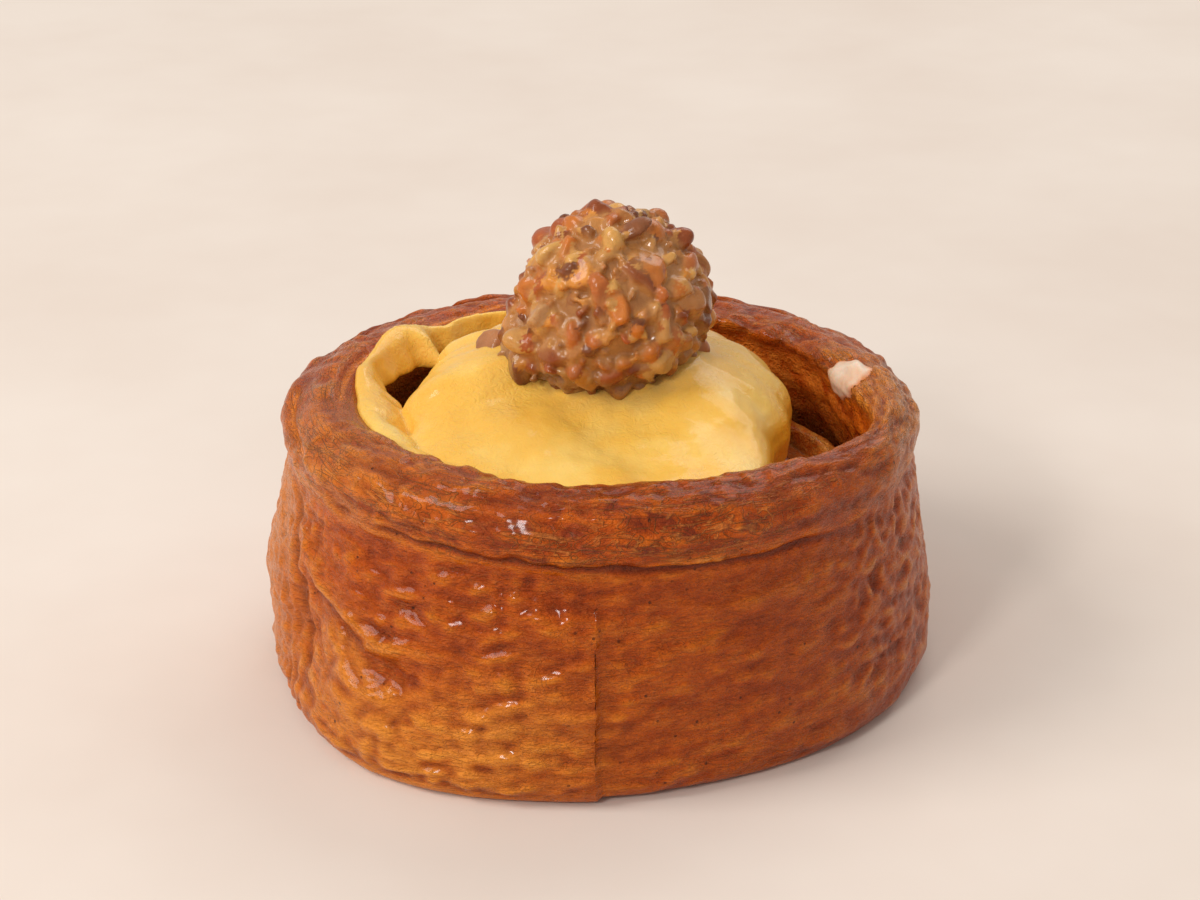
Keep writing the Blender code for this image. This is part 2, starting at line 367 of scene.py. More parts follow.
def upright_furrow(azimuth, height, route, width):
    """1 along an upright line given as (height, azimuth) points."""
    levels, stops = zip(*route)
    line = np.interp(height, levels, stops)
    return swell(azimuth, line, width) * between(height, levels[0], levels[-1], 1.0)


def spot(surface, azimuth, width, height, reach):
    """1 at one place on the wall, falling smoothly all round it."""
    return swell(surface.az, azimuth, width) * bell(surface.height - height, reach)


def terraces(value):
    """Thin layers seen on edge: each rises slowly and ends in a small step."""
    share = value - np.floor(value)
    return share * (1.0 - fade(share, 0.78, 1.0)) * 1.35


def blurred(field, reach):
    """The field averaged over reach rows and columns to each side."""
    for axis, mode in ((0, "edge"), (1, "wrap")):
        padding = [(reach, reach) if axis == other else (0, 0) for other in (0, 1)]
        sums = np.cumsum(np.pad(field, padding, mode=mode), axis=axis)
        sums = np.insert(sums, 0, 0.0, axis=axis)
        size = 2 * reach + 1
        high = np.take(sums, np.arange(size, sums.shape[axis]), axis=axis)
        field = (high - np.take(sums, np.arange(sums.shape[axis] - size), axis=axis)) / size
    return field


def wall_relief(surface, wall):
    """Puffed wrinkles at the left front, fine slanting streaks at the right, and a crumpled right edge."""
    az, height, flow = surface.az, surface.height, surface.flow
    lean = 9.0 * np.sin(np.radians(az - 300.0))
    leaning = flow + np.stack([0.0 * lean, 0.0 * lean, lean], axis=2)
    left_front = swell(az, 240.0, 36.0)
    right_front = swell(az, 302.0, 34.0)
    back = swell(az, 100.0, 80.0)
    crumpled = 0.10 + 1.0 * right_edge_share(az) * fade(height, 3.0, 15.0) + 0.75 * swell(az, 186.0, 17.0)
    creases = 0.16 + 0.75 * swell(az, 205.0, 8.0)

    broad = 0.7 * layered(stretched(flow, 17.0, 8.0), 2)
    puffs = -creased(stretched(leaning, 6.4, 2.3, 3.1), 2, 0.4) * (0.3 + 0.6 * left_front + 0.2 * back)
    dimples = -creased(stretched(leaning, 3.4, 1.5, 5.7), 1) * (0.1 + 0.3 * left_front)
    streaks = layered(stretched(leaning, 9.0, 1.6, 8.3), 2) * (0.10 + 0.20 * right_front)
    crumple = (creased(stretched(flow, 4.4, 3.4, 11.9), 3) - 0.35) * crumpled
    folds = (creased(stretched(flow, 2.2, 7.0, 15.9), 2) - 0.45) * creases
    return wall * (broad + puffs + dimples + streaks + crumple + folds)


def right_edge_share(azimuth):
    return between(azimuth, 316.0, 372.0, 12.0) + between(azimuth, -44.0, 12.0, 12.0)


def rim_relief(surface, rim):
    """The edges of the layers run round the rim in whorls, calm and smooth at the far left."""
    az, s, flow = surface.az, surface.s, surface.flow
    warp = 1.6 * perlin(stretched(flow, 16.0, 5.0, 21.0)) + 0.5 * perlin(stretched(flow, 5.0, 2.6, 2.0))
    calm = 0.3 + 0.7 * fade(perlin(stretched(flow, 11.0, 3.0, 31.0)), -0.3, 0.4)
    front = swell(az, 275.0, 60.0)
    smooth_left = swell(az, 188.0, 24.0) * between(s, surface.edge + 4.0, surface.bulge, 2.0)
    layers = 0.48 * terraces((s + warp) / 2.9) + 0.10 * np.sin(2.0 * np.pi * (s + 0.8 * warp) / 1.5 + 1.7)
    layers = layers * calm * (0.65 + 0.5 * front) * (1.0 - 0.85 * smooth_left)
    tangle = (creased(stretched(flow, 3.4, 1.6, 41.0), 2, 0.35) - 0.45) * 0.5 * (1.0 - 0.8 * smooth_left)
    lumps = 0.8 * layered(stretched(flow, 9.0, 4.2, 51.0), 2)
    return rim * (layers + tangle + lumps)


def crust_relief(surface):
    """Moves the crust's grid along its normals, and returns what its paint needs for each point."""
    az, s, height, radius, flow = surface.az, surface.s, surface.height, surface.radius, surface.flow
    wall = between(s, surface.crease + 0.8, surface.ground - 3.0, 1.5)
    rim = between(s, surface.edge - 2.0, surface.crease, 1.2)
    inside = 1.0 - fade(s, surface.edge - 4.0, surface.edge - 1.0)
    base = fade(s, surface.ground - 2.0, surface.ground)
    outer = fade(s, surface.crease, surface.crease + 2.0)
    relief = wall_relief(surface, wall) + rim_relief(surface, rim)

    warp = 1.2 * perlin(stretched(flow, 12.0, 5.0, 65.0))
    grooves = 0.45 * terraces((s + warp) / 3.4) + 0.14 * np.sin(2.0 * np.pi * (s + warp) / 1.7)
    relief += inside * (0.45 * layered(stretched(flow, 9.0, 2.6, 61.0), 3) + grooves)

    wander = 0.5 * perlin(stretched(flow, 7.0, 60.0, 71.0))
    under_rim = furrow(height + wander, az, UNDER_RIM, 0.5, 18.0)
    under_rim *= fade(s, surface.bulge, surface.bulge + 2.0)
    split = furrow(radius, az, RIM_SPLIT, 0.5) * between(s, surface.edge, surface.bulge, 1.0)
    slit = furrow(radius, az, RIM_SLIT, 0.45) * between(s, surface.bulge - 6.0, surface.bulge + 1.0, 0.8)
    relief = relief - 0.9 * under_rim - 1.4 * split - 1.2 * slit

    waver = 1.3 * perlin(stretched(flow, 40.0, 5.0, 75.0))
    notch = upright_furrow(az + waver, height, WALL_NOTCH, 1.4) * outer
    relief -= 0.55 * notch
    above = height - np.interp(az, *zip(*WALL_FOLD))
    fold = route_mask(az, 206.0, 246.0, 12.0) * outer
    relief += fold * (0.8 * bell(above - 0.9, 1.3) - 1.5 * bell(above + 2.4, 2.4))
    pocket = spot(surface, 212.0, 5.0, 19.0, 3.5)
    bumps = spot(surface, 228.0, 6.0, 11.5, 3.2) + 0.7 * spot(surface, 238.0, 5.0, 5.5, 2.4)
    relief += outer * (0.9 * bumps - 0.7 * pocket)

    under_smear = between(az, 108.0, 208.0, 8.0) * between(s, surface.edge - 4.0, surface.edge + 4.5, 1.5)
    relief = blurred(relief, 1) * (1.0 - base) * (1.0 - under_smear) - 0.7 * under_smear
    moved = surface.points + surface.normals * relief[:, :, None]
    moved[:, :, 2] = np.maximum(moved[:, :, 2], 0.0)

    # The rim's darker-browned crust, with a painted purple-brown sheen, strongest at the front and the left.
    browning_and_sheen = 0.35 * swell(az, 186.0, 30.0) + 0.95 * swell(az, 276.0, 44.0) + 0.1
    bake_sheen_and_shade = rim * between(s, surface.edge + 1.0, surface.bulge + 1.5, 2.0) * browning_and_sheen
    # Painted shade along the underside of the rim's bulge.
    band = furrow(height, az, UNDER_BULGE_SHADE, 1.3) * fade(s, surface.bulge - 3.0, surface.bulge)
    # Painted light on the rim at the right and the left, and on the wall's lower left with two spots, where
    # the light falls.
    rim_light = 0.9 * swell(az, 356.0, 24.0) + 0.5 * swell(az, 212.0, 26.0)
    wall_light = swell(az, 236.0, 24.0) * (1.0 - fade(height, 7.0, 20.0))
    wall_light += 0.8 * spot(surface, 224.0, 9.0, 19.0, 5.0)
    wall_light += 0.6 * spot(surface, 256.0, 14.0, 14.0, 9.0)
    wall_shade = 0.26 * swell(az, 308.0, 36.0) + 0.16 * swell(az, 250.0, 24.0) * fade(height, 16.0, 28.0)
    paint = {
        # Painted shade in the small recesses and painted light on the crests of the relief.
        "relief": np.clip(0.5 + (relief - blurred(relief, 5)) / 0.9, 0.0, 1.0),
        # Darker-browned rim with a painted sheen, and painted shade under its bulge and in the crease below
        # it.
        "bake_sheen_and_shade": np.clip(bake_sheen_and_shade + 0.9 * band + 0.6 * under_rim, 0.0, 1.0),
        "dough": np.clip(1.2 * split + 1.1 * slit, 0.0, 1.0),
        # Painted shade, darker the deeper the crust lies in the channel.
        "depth_shade": inside * fade(RIM_INNER_HEIGHT + 1.0 - height, 5.0, 16.0),
        # Painted shade, almost black, in the hole under the custard smear at the left.
        "hollow_shade": inside * fade(RIM_INNER_HEIGHT - height, 1.0, 6.0) * between(az, 115.0, 215.0, 20.0),
        # Painted light: the coil's ridge is lightened where it lies in shade.
        "ridge": inside * fade(height, 27.0, 32.0) * bell(radius - COIL_RADIUS - 0.5, 3.4),
        # Painted light, on the rim and the wall.
        "painted_light": rim * rim_light + outer * wall_light,
        "inside": inside,
        "shade": np.clip(0.9 * under_rim + 0.4 * notch + wall * wall_shade, 0.0, 1.0),
        "lobe": swell(az, 188.0, 17.0) * wall,
        "layers": rim,
        "crumple": np.clip(right_edge_share(az) * wall, 0.0, 1.0),
    }
    return moved, paint


# Lines in the crust. Their points are (azimuth, height), but (azimuth, radius) for the two on top of the rim,
# and (height, azimuth) for the upright notch.
UNDER_RIM = [(222.0, 40.4), (243.0, 40.2), (273.0, 39.2), (305.0, 38.6), (322.0, 37.6)]
# Painted shade runs along this line, under the rim's bulge.
UNDER_BULGE_SHADE = [(225.0, 44.0), (240.0, 42.6), (262.0, 40.6), (285.0, 39.6)]
RIM_SPLIT = [(98.0, 44.2), (109.0, 43.8), (130.0, 41.6), (147.0, 41.5), (182.0, 42.2), (192.0, 42.8)]
RIM_SLIT = [(176.0, 50.0), (186.0, 50.9), (196.0, 51.5), (207.0, 52.0)]
WALL_NOTCH = [(8.0, 213.0), (17.0, 209.0), (27.0, 205.0), (36.0, 200.0)]
WALL_FOLD = [(207.0, 28.0), (216.0, 24.6), (231.0, 21.2), (246.0, 20.6)]


# ---- meshes


def linked(name, data):
    """A new object in the scene."""
    made = bpy.data.objects.new(name, data)
    bpy.context.scene.collection.objects.link(made)
    return made


def new_object(name, verts, faces, material):
    """A smooth mesh object from points in millimetres. The faces are a list."""
    mesh = bpy.data.meshes.new(name)
    mesh.from_pydata((verts * MM).tolist(), [], faces)
    mesh.update()
    mesh.shade_smooth()
    mesh.materials.append(material)
    return linked(name, mesh)


ATTRIBUTE_KINDS = {1: ("FLOAT", "value"), 3: ("FLOAT_VECTOR", "vector"), 4: ("FLOAT_COLOR", "color")}


def store(piece, name, values):
    """Keeps a number, a vector or a colour for each vertex, for the shader."""
    values = np.asarray(values, np.float32)
    kind, field = ATTRIBUTE_KINDS[values.size // len(values)]
    kept = piece.data.attributes.new(name, kind, "POINT")
    kept.data.foreach_set(field, values.ravel())


def ring_faces(rows, columns):
    """Quads of a grid whose columns close into a ring."""
    index = np.arange(rows * columns).reshape(rows, columns)
    after = np.roll(index, -1, axis=1)
    return np.stack([index[:-1], index[1:], after[1:], after[:-1]], axis=-1).reshape(-1, 4)


def crust_piece(name, surface, moved, paint, rows, material, pole):
    """Some of the crust's rows, with the whole grid's normals. A pole closes the piece at its last row."""
    block = moved[rows]
    verts = block.reshape(-1, 3)
    faces = ring_faces(block.shape[0], block.shape[1]).tolist()
    flow = surface.flow[rows].reshape(-1, 3)
    normals = grid_normals(moved)[rows].reshape(-1, 3)
    values = {key: field[rows].ravel() for key, field in paint.items()}
    if pole is not None:
        verts = np.concatenate([verts, [pole]])
        flow = np.concatenate([flow, flow[-1:]])
        normals = np.concatenate([normals, [(0.0, 0.0, -1.0)]])
        values = {key: np.append(field, field[-1]) for key, field in values.items()}
        columns = block.shape[1]
        edge = (block.shape[0] - 1) * columns
        faces += [[edge + (c + 1) % columns, edge + c, len(verts) - 1] for c in range(columns)]
    piece = new_object(name, verts, faces, material)
    store(piece, "flow", flow)
    for key, field in values.items():
        store(piece, key, field)
    piece.data.normals_split_custom_set_from_vertices(normals.tolist())
    return piece


def fuse(piece, voxel, passes):
    """Makes one skin of what overlaps, and smooths it."""
    remesh = piece.modifiers.new("fuse", "REMESH")
    remesh.mode = "VOXEL"
    remesh.voxel_size = voxel * MM
    smooth = piece.modifiers.new("soften", "SMOOTH")
    smooth.factor = 0.5
    smooth.iterations = passes
    depsgraph = bpy.context.evaluated_depsgraph_get()
    mesh = bpy.data.meshes.new_from_object(piece.evaluated_get(depsgraph))
    piece.modifiers.clear()
    piece.data = mesh
    mesh.shade_smooth()


def vectors(items, field):
    """A vector of each of a mesh's vertices."""
    flat = np.zeros(len(items) * 3)
    items.foreach_get(field, flat)
    return flat.reshape(-1, 3)


# ---- custard


def custard_reach(azimuth):
    """1 in front, where the custard fills the cup out to its wall, 0 where its edge is free."""
    return fade(azimuth, *CUSTARD_LEFT_MERGE) * (1.0 - fade(azimuth, *CUSTARD_RIGHT_MERGE))


def custard_radius(azimuth):
    reach = custard_reach(azimuth)
    wall = rim_inner_radius(azimuth) + 0.8
    turn = np.radians(azimuth)
    ragged = 0.5 * np.sin(31.0 * turn + 2.0) * swell(azimuth, 160.0, 22.0) + 2.6 * swell(azimuth, 148.0, 4.0)
    ragged += 0.5 * np.sin(19.0 * turn) * swell(azimuth, 10.0, 30.0)
    free = CUSTARD_RADIUS + 1.2 * swell(azimuth, 0.0, 40.0) + 2.6 * swell(azimuth, 190.0, 9.0) + ragged
    return free + reach * (wall - free)


# Where the mound's rings lie, as shares of its radius.
MOUND_SHARES = (0.05, 0.12, 0.2, 0.3, 0.38, 0.46, 0.55, 0.63, 0.7, 0.77, 0.83, 0.88, 0.93, 0.965, 0.985)


def custard_mound():
    """The mound as one closed skin: domed where its edge is free, and sloping to the wall in front."""
    azimuth = np.arange(240) * 1.5
    radius = custard_radius(azimuth)
    flat = custard_reach(azimuth)
    lean = 1.5 * swell(azimuth, 90.0, 70.0) - 1.2 * swell(azimuth, 270.0, 60.0)
    edge = CUSTARD_EDGE_HEIGHT + flat * CUSTARD_FRONT_LIFT
    base = COIL_HEIGHT - 0.6
    section = []
    for share in MOUND_SHARES:
        domed = 1.0 - math.sqrt(1.0 - share**2.4)
        drop = (CUSTARD_HEIGHT - edge) * (domed + flat * (share - domed))
        section.append((share * radius, CUSTARD_HEIGHT - drop + lean * math.sin(math.pi * share)))
    foot = np.minimum(radius - 4.0, coil_radius(azimuth) - 6.0)
    section += [(radius, edge), (radius - 0.5, 0.5 * (edge + base)), (radius - 2.4, base + 2.4),
                (foot, base), (2.0, base)]
    return close_rows([round_points(r, z, azimuth) for r, z in section])


def close_rows(rows):
    """Verts and faces of a stack of rings, with a fan at each end."""
    columns = len(rows[0])
    verts = np.concatenate(rows + [rows[0].mean(axis=0)[None], rows[-1].mean(axis=0)[None]])
    faces = ring_faces(len(rows), columns).tolist()
    top = len(verts) - 2
    low = (len(rows) - 1) * columns
    for column in range(columns):
        after = (column + 1) % columns
        faces.append([top, column, after])
        faces.append([top + 1, low + after, low + column])
    return verts, faces


# How far the smear climbs the rim outside the cup's mouth, as points of (azimuth, millimetres).
SMEAR_CLIMB = [(112.0, 0.0), (134.0, 0.3), (141.0, 1.5), (148.0, 2.3), (157.0, 2.4), (177.0, 1.2),
               (200.0, 0.4), (240.0, 0.2)]


def custard_smear():
    """The custard that clings to the left of the cup, with a thin bridge to the mound behind."""
    start = SMEAR_START - 8.0
    azimuth = np.linspace(start, SMEAR_END, 230)
    share = np.linspace(0.0, 1.0, len(azimuth))
    taper = 0.12 + 0.88 * np.sin(np.pi * share) ** 0.5
    turn = np.radians(azimuth)
    scallop = 0.5 * np.sin(19.0 * turn + 1.0) + 0.35 * np.sin(41.0 * turn)
    climb = np.interp(azimuth, *zip(*SMEAR_CLIMB)) + 0.3 * np.sin(15.0 * turn)
    tucked = 1.5 * (1.0 - fade(azimuth, start, SMEAR_START + 10.0))
    outer = rim_inner_radius(azimuth) + 0.6 + climb - tucked
    shelf = fade(azimuth, 168.0, 184.0)
    inner = outer - climb - taper * (2.2 + scallop + 5.6 * swell(azimuth, 145.0, 2.4) + 5.6 * shelf)
    high = RIM_INNER_HEIGHT + 0.8 + 0.85 * climb
    low = RIM_INNER_HEIGHT - 2.4 - 0.6 * shelf
    middle = 0.5 * (outer + inner)
    loop = [(outer, high), (0.25 * inner + 0.75 * outer, 0.75 * high + 0.25 * low + 1.1),
            (middle, 0.5 * (high + low) + 1.5), (inner + 0.3, low + 0.4), (inner, low - 0.5),
            (inner + 0.5, low - 1.4), (middle + 0.6, 0.5 * (high + low) - 2.6), (outer + 0.6, high - 4.5)]
    verts = np.concatenate([round_points(r, z, azimuth) for r, z in loop])
    index = np.arange(len(verts)).reshape(len(loop), -1)
    after = np.roll(index, -1, axis=0)
    faces = np.stack([index[:, :-1], index[:, 1:], after[:, 1:], after[:, :-1]], axis=-1).reshape(-1, 4)
    return verts, faces.tolist() + [index[:, 0].tolist(), index[::-1, -1].tolist()]


def line_distance(points, route):
    """Distance of points, seen from above, from a broken line, and their side of it, from -1 to 1."""
    nearest = np.full(len(points), 1e9)
    side = np.zeros(len(points))
    for start, end in zip(route, route[1:]):
        start, end = np.array(start), np.array(end)
        run = end - start
        share = np.clip(((points[:, :2] - start) @ run) / (run @ run), 0.0, 1.0)
        off = points[:, :2] - start - share[:, None] * run
        distance = np.linalg.norm(off, axis=1)
        lengths = np.linalg.norm(run) * np.maximum(distance, 1e-6)
        turned = (off[:, 0] * run[1] - off[:, 1] * run[0]) / lengths
        side = np.where(distance < nearest, turned, side)
        nearest = np.minimum(nearest, distance)
    return nearest, side


# Folds in the custard, as routes on the plan: each with its step and its width.
CUSTARD_FOLDS = [
    ([(-6.0, -17.0), (-2.0, -23.0), (3.0, -29.0), (7.5, -36.0), (9.0, -43.0)], 1.7, 2.8),
    ([(15.0, 4.0), (21.0, -4.0), (23.0, -12.0), (21.0, -20.0)], 0.7, 3.4),
    ([(-12.0, -16.0), (-5.0, -26.0), (4.0, -33.0)], 0.5, 2.2),
    ([(-15.0, 4.0), (-22.0, -2.0), (-28.0, -8.0)], 0.5, 1.8),
    ([(-15.0, -6.0), (-22.0, -12.0), (-28.0, -17.0)], 0.4, 1.6),
]


def make_custard(material):
    """Mound and smear as one skin, with soft lumps and the folds."""
    verts, faces = custard_mound()
    more, extra = custard_smear()
    faces = faces + [[index + len(verts) for index in face] for face in extra]
    custard = new_object("custard_filling", np.concatenate([verts, more]), faces, material)
    recalculate(custard)
    fuse(custard, CUSTARD_VOXEL, 6)
    points = vectors(custard.data.vertices, "co") / MM
    normals = vectors(custard.data.vertex_normals, "vector")
    top = fade(normals[:, 2], -0.2, 0.5)
    bulk = 0.45 * layered(points / 13.0, 2) + 0.16 * layered(points / np.array([5.0, 5.0, 3.0]) + 4.0, 2)
    azimuth = np.degrees(np.arctan2(points[:, 1], points[:, 0])) % 360.0
    radius = np.hypot(points[:, 0], points[:, 1])
    streaks = 0.16 * perlin(round_points(9.0, radius / 16.0, azimuth) + 7.0) * fade(radius, 14.0, 24.0)
    moved = bulk + streaks
    fold_shade = np.zeros(len(points))
    for route, step, width in CUSTARD_FOLDS:
        distance, side = line_distance(points, route)
        rise = side * (1.0 - np.exp(-distance / width)) * bell(distance, 4.0 * width)
        moved += 0.5 * step * rise * top
        # Painted shade along each fold.
        fold_shade += bell(distance, width) * top * step
    off_ball = np.linalg.norm((points - BALL_CENTRE) / BALL_RADII, axis=1) - 1.0
    off_ball = np.maximum(off_ball, 0.0)
    halo = np.exp(-off_ball / 0.14)
    moved += 0.7 * bell(off_ball, 0.10)
    custard.data.vertices.foreach_set("co", ((points + normals * moved[:, None]) * MM).ravel())
    custard.data.update()
    steep = 1.0 - fade(normals[:, 2], 0.1, 0.7)
    edge = steep * fade(radius, 22.0, 29.0) * (0.35 + 0.65 * swell(azimuth, 340.0, 60.0))
    store(custard, "halo", halo * top)
    store(custard, "edge", np.clip(edge, 0.0, 1.0))
    # Painted shade along the folds.
    store(custard, "fold", np.clip(fold_shade, 0.0, 1.0))
    store(custard, "rest", points)
    return custard


def recalculate(piece):
    """Turns the faces of a closed mesh outwards."""
    build = bmesh.new()
    build.from_mesh(piece.data)
    bmesh.ops.recalc_face_normals(build, faces=build.faces)
    build.to_mesh(piece.data)
    build.free()


# ---- nuts


def srgb(red, green, blue):
    """A colour written as 0 to 255 on screen, as the linear values that a shader takes."""
    values = np.array([red, green, blue]) / 255.0
    linear = np.where(values <= 0.04045, values / 12.92, ((values + 0.055) / 1.055) ** 2.4)
    return tuple(linear.round(3).tolist())


NUT_COLOURS = [srgb(*shade) for shade in (
    (168, 74, 20), (132, 52, 16), (104, 42, 16), (198, 108, 32), (206, 140, 66),
    (214, 158, 82), (184, 96, 38), (220, 140, 48), (204, 146, 76), (180, 114, 56))]
SYRUP_COLOUR = srgb(188, 130, 74)

# The coats of chopped nuts, from coarse to fine: how many, and their smallest and largest radius.
NUT_COATS = ((95, 2.1, 3.3), (260, 1.0, 1.7), (420, 0.55, 0.95))

# Pieces that stand out: direction from the ball's centre, radius, stretch and colour.
NUT_FEATURES = [
    ((-0.62, -0.30, 0.72), 2.6, (1.4, 1.0, 0.8), srgb(214, 160, 84)),
    ((0.10, -0.35, 0.95), 3.0, (1.7, 0.8, 0.5), srgb(124, 66, 36)),
    ((0.96, -0.25, 0.15), 2.6, (1.5, 0.8, 0.7), srgb(118, 64, 38)),
    ((-0.90, -0.40, -0.45), 2.8, (1.4, 1.0, 0.8), srgb(140, 72, 44)),
    ((-0.75, -0.62, 0.10), 2.7, (1.3, 1.0, 0.9), srgb(190, 140, 90)),
]

# Loose crumbs on the custard: centre, radius, stretch and colour.
NUT_CRUMBS = [
    ((-17.2, 3.6, 52.6), 2.8, (1.5, 1.0, 0.7), srgb(208, 136, 84)),
    ((-14.9, -0.6, 52.8), 2.2, (1.2, 1.0, 0.8), srgb(214, 156, 96)),
]


def ball_surface(direction):
    """The ball's uneven outline: its distance from the centre in each direction."""
    surface = direction * BALL_RADII
    lean = np.maximum(0.0, -direction[..., 0]) * bell(direction[..., 2] + 0.42, 0.34)
    return np.linalg.norm(surface, axis=-1) + BALL_SLUMP * lean


def chunk_shape(template, dice, size, stretch):
    """A chopped nut: a rounded block cut by several flat breaks, at a random turn."""
    breaks = dice.normal(size=(8, 3))
    breaks /= np.linalg.norm(breaks, axis=1)[:, None]
    cut = dice.uniform(0.55, 1.0, 8)
    facing = np.maximum(template @ breaks.T, 1e-3)
    reach = np.minimum(1.0, (cut / facing).min(axis=1))
    return template * reach[:, None] * size * np.array(stretch) @ random_turn(dice).T


def random_turn(dice):
    """A random rotation, from a random quaternion."""
    q = dice.normal(size=4)
    w, x, y, z = q / np.linalg.norm(q)
    return np.array([[1 - 2 * (y * y + z * z), 2 * (x * y - z * w), 2 * (x * z + y * w)],
                     [2 * (x * y + z * w), 1 - 2 * (x * x + z * z), 2 * (y * z - x * w)],
                     [2 * (x * z - y * w), 2 * (y * z + x * w), 1 - 2 * (x * x + y * y)]])


def sphere_template():
    build = bmesh.new()
    bmesh.ops.create_icosphere(build, subdivisions=3, radius=1.0)
    verts = np.array([vert.co for vert in build.verts])
    faces = np.array([[vert.index for vert in face.verts] for face in build.faces])
    build.free()
    return verts, faces


def spiral_directions(count):
    """Directions spread evenly over a sphere."""
    step = np.arange(count) + 0.5
    height = 1.0 - 2.0 * step / count
    turn = math.pi * (1.0 + 5.0**0.5) * step
    flat = np.sqrt(1.0 - height**2)
    return np.stack([flat * np.cos(turn), flat * np.sin(turn), height], axis=1)


def make_nut_ball(material):
    """A core of syrup under three coats of chopped nuts, all fused."""
    dice = np.random.default_rng(NUT_SEED)
    template, faces = sphere_template()
    core = template * (ball_surface(template) - 1.35 + 0.6 * perlin(template * 6.0))[:, None]
    chunks, tints = [core + BALL_CENTRE], [SYRUP_COLOUR]
    for count, smallest, largest in NUT_COATS:
        for direction in spiral_directions(count):
            direction = direction + dice.normal(size=3) * 0.08
            direction /= np.linalg.norm(direction)
            size = dice.uniform(smallest, largest)
            stretch = np.array([1.3, 1.0, 0.8]) * dice.uniform(0.85, 1.15, 3)
            shape = chunk_shape(template, dice, size, stretch)
            sunk = dice.uniform(0.2, 1.1) + 0.5 * size
            chunks.append(shape + (BALL_CENTRE + direction * (ball_surface(direction) - sunk)))
            tints.append(NUT_COLOURS[dice.integers(len(NUT_COLOURS))])
    for direction, size, stretch, tint in NUT_FEATURES:
        direction = np.array(direction) / np.linalg.norm(direction)
        shape = chunk_shape(template, dice, size, stretch)
        chunks.append(shape + (BALL_CENTRE + direction * (ball_surface(direction) - 0.45 * size)))
        tints.append(tint)
    return nut_object("nut_cluster", chunks, faces, tints, NUT_VOXEL, material)


def make_nut_crumbs(material):
    """The nut crumbs that lie on the custard, at the left of the ball."""
    dice = np.random.default_rng(CRUMB_SEED)
    template, faces = sphere_template()
    chunks = [chunk_shape(template, dice, size, stretch) + np.array(centre)
              for centre, size, stretch, _ in NUT_CRUMBS]
    tints = [crumb[-1] for crumb in NUT_CRUMBS]
    return nut_object("nut_crumbs", chunks, faces, tints, CRUMB_VOXEL, material)


def nut_object(name, chunks, faces, tints, voxel, material):
    """Fuses the chunks, which all have the same faces, and colours them."""
    all_faces = np.concatenate([faces + index * len(chunks[0]) for index in range(len(chunks))])
    nuts = new_object(name, np.concatenate(chunks), all_faces.tolist(), material)
    fuse(nuts, voxel, 2)
    colour_nuts(nuts, chunks, tints)
    return nuts


def colour_nuts(nuts, chunks, tints):
    """Colours each point as the nearest chunk, under syrup in the hollows and in patches, with painted shade
    deep in the gaps and on the ball's underside.
    """
    tree = kdtree.KDTree(sum(len(chunk) for chunk in chunks))
    owner = []
    for index, chunk in enumerate(chunks):
        for point in chunk:
            tree.insert(point, len(owner))
            owner.append(index)
    tree.balance()
    points = vectors(nuts.data.vertices, "co") / MM
    nearest = np.array([owner[tree.find(point)[1]] for point in points])
    tint = np.array(tints)[nearest]
    off = points - BALL_CENTRE
    distance = np.linalg.norm(off, axis=1)
    proud = distance - ball_surface(off / distance[:, None])
    patch = layered(points / 4.2 + 3.0, 2)
    syrup = 1.0 - fade(proud + 1.3 * patch, -1.6, 0.3)
    syrup = np.clip(0.12 + 0.8 * syrup, 0.0, 1.0)
    # Painted shade deep in the gaps between the chunks.
    deep = 1.0 - fade(proud, -2.6, -0.9)
    mottled = 1.0 + 0.16 * perlin(points / 1.3)[:, None]
    colour = tint * mottled * (1.0 - syrup[:, None]) + np.array(SYRUP_COLOUR) * syrup[:, None]
    colour *= 1.0 - 0.6 * deep[:, None] * np.array([0.8, 0.95, 1.0])
    # Painted shade on the ball's underside, away from the light.
    under = fade(BALL_CENTRE[2] - points[:, 2], 1.0, 13.0)
    colour *= 1.0 - 0.55 * under[:, None] * np.array([1.0, 1.0, 0.9])
    store(nuts, "tint", np.insert(np.clip(colour, 0.0, 1.0), 3, 1.0, axis=1))


# ---- icing


def make_icing(surface, moved, material):
    """A smear of icing that lies on the crust of the rim at the right and hangs over its inner edge."""
    azimuth = wrapped(surface.azimuth)
    order = np.argsort(azimuth)
    columns = order[(azimuth[order] > -14.0) & (azimuth[order] < 26.0)]
    first, last = np.searchsorted(surface.across, [surface.edge - 7.0, surface.edge + 9.0])
    block = moved[first:last][:, columns]
    turned = azimuth[columns][None, :]
    down = surface.across[first:last][:, None] - surface.edge
    middle = 1.0 - 0.12 * (turned - 7.0)
    away = ((turned - 8.0) / 7.2) ** 2 + ((down - middle) / 4.8) ** 2
    cover = 1.0 - away + 0.22 * layered(block / 3.0 + 2.0, 3)
    full = np.clip(cover, 0.0, 1.0)
    thick = 1.1 * full**0.7 + 0.35 * layered(block / 2.4, 2) * full
    points = block + surface.normals[first:last][:, columns] * (thick - 0.12)[:, :, None]
    count = points.shape[1]
    start = np.arange(cover.size).reshape(cover.shape)[:-1, :-1][cover[:-1, :-1] > 0.0]
    faces = np.stack([start, start + count, start + count + 1, start + 1], axis=1)
    used, faces = np.unique(faces, return_inverse=True)
    icing = new_object("icing_smear", points.reshape(-1, 3)[used], faces.reshape(-1, 4).tolist(), material)
    store(icing, "cover", fade(cover.reshape(-1)[used], 0.02, 0.5))
    return icing


# ---- materials


def add(tree, kind, inputs=None, **settings):
    """A shader node with its settings, its inputs linked or set."""
    made = tree.nodes.new("ShaderNode" + kind)
    for key, value in settings.items():
        setattr(made, key, value)
    for key, value in (inputs or {}).items():
        if isinstance(value, bpy.types.NodeSocket):
            tree.links.new(value, made.inputs[key])
        else:
            made.inputs[key].default_value = value
    return made


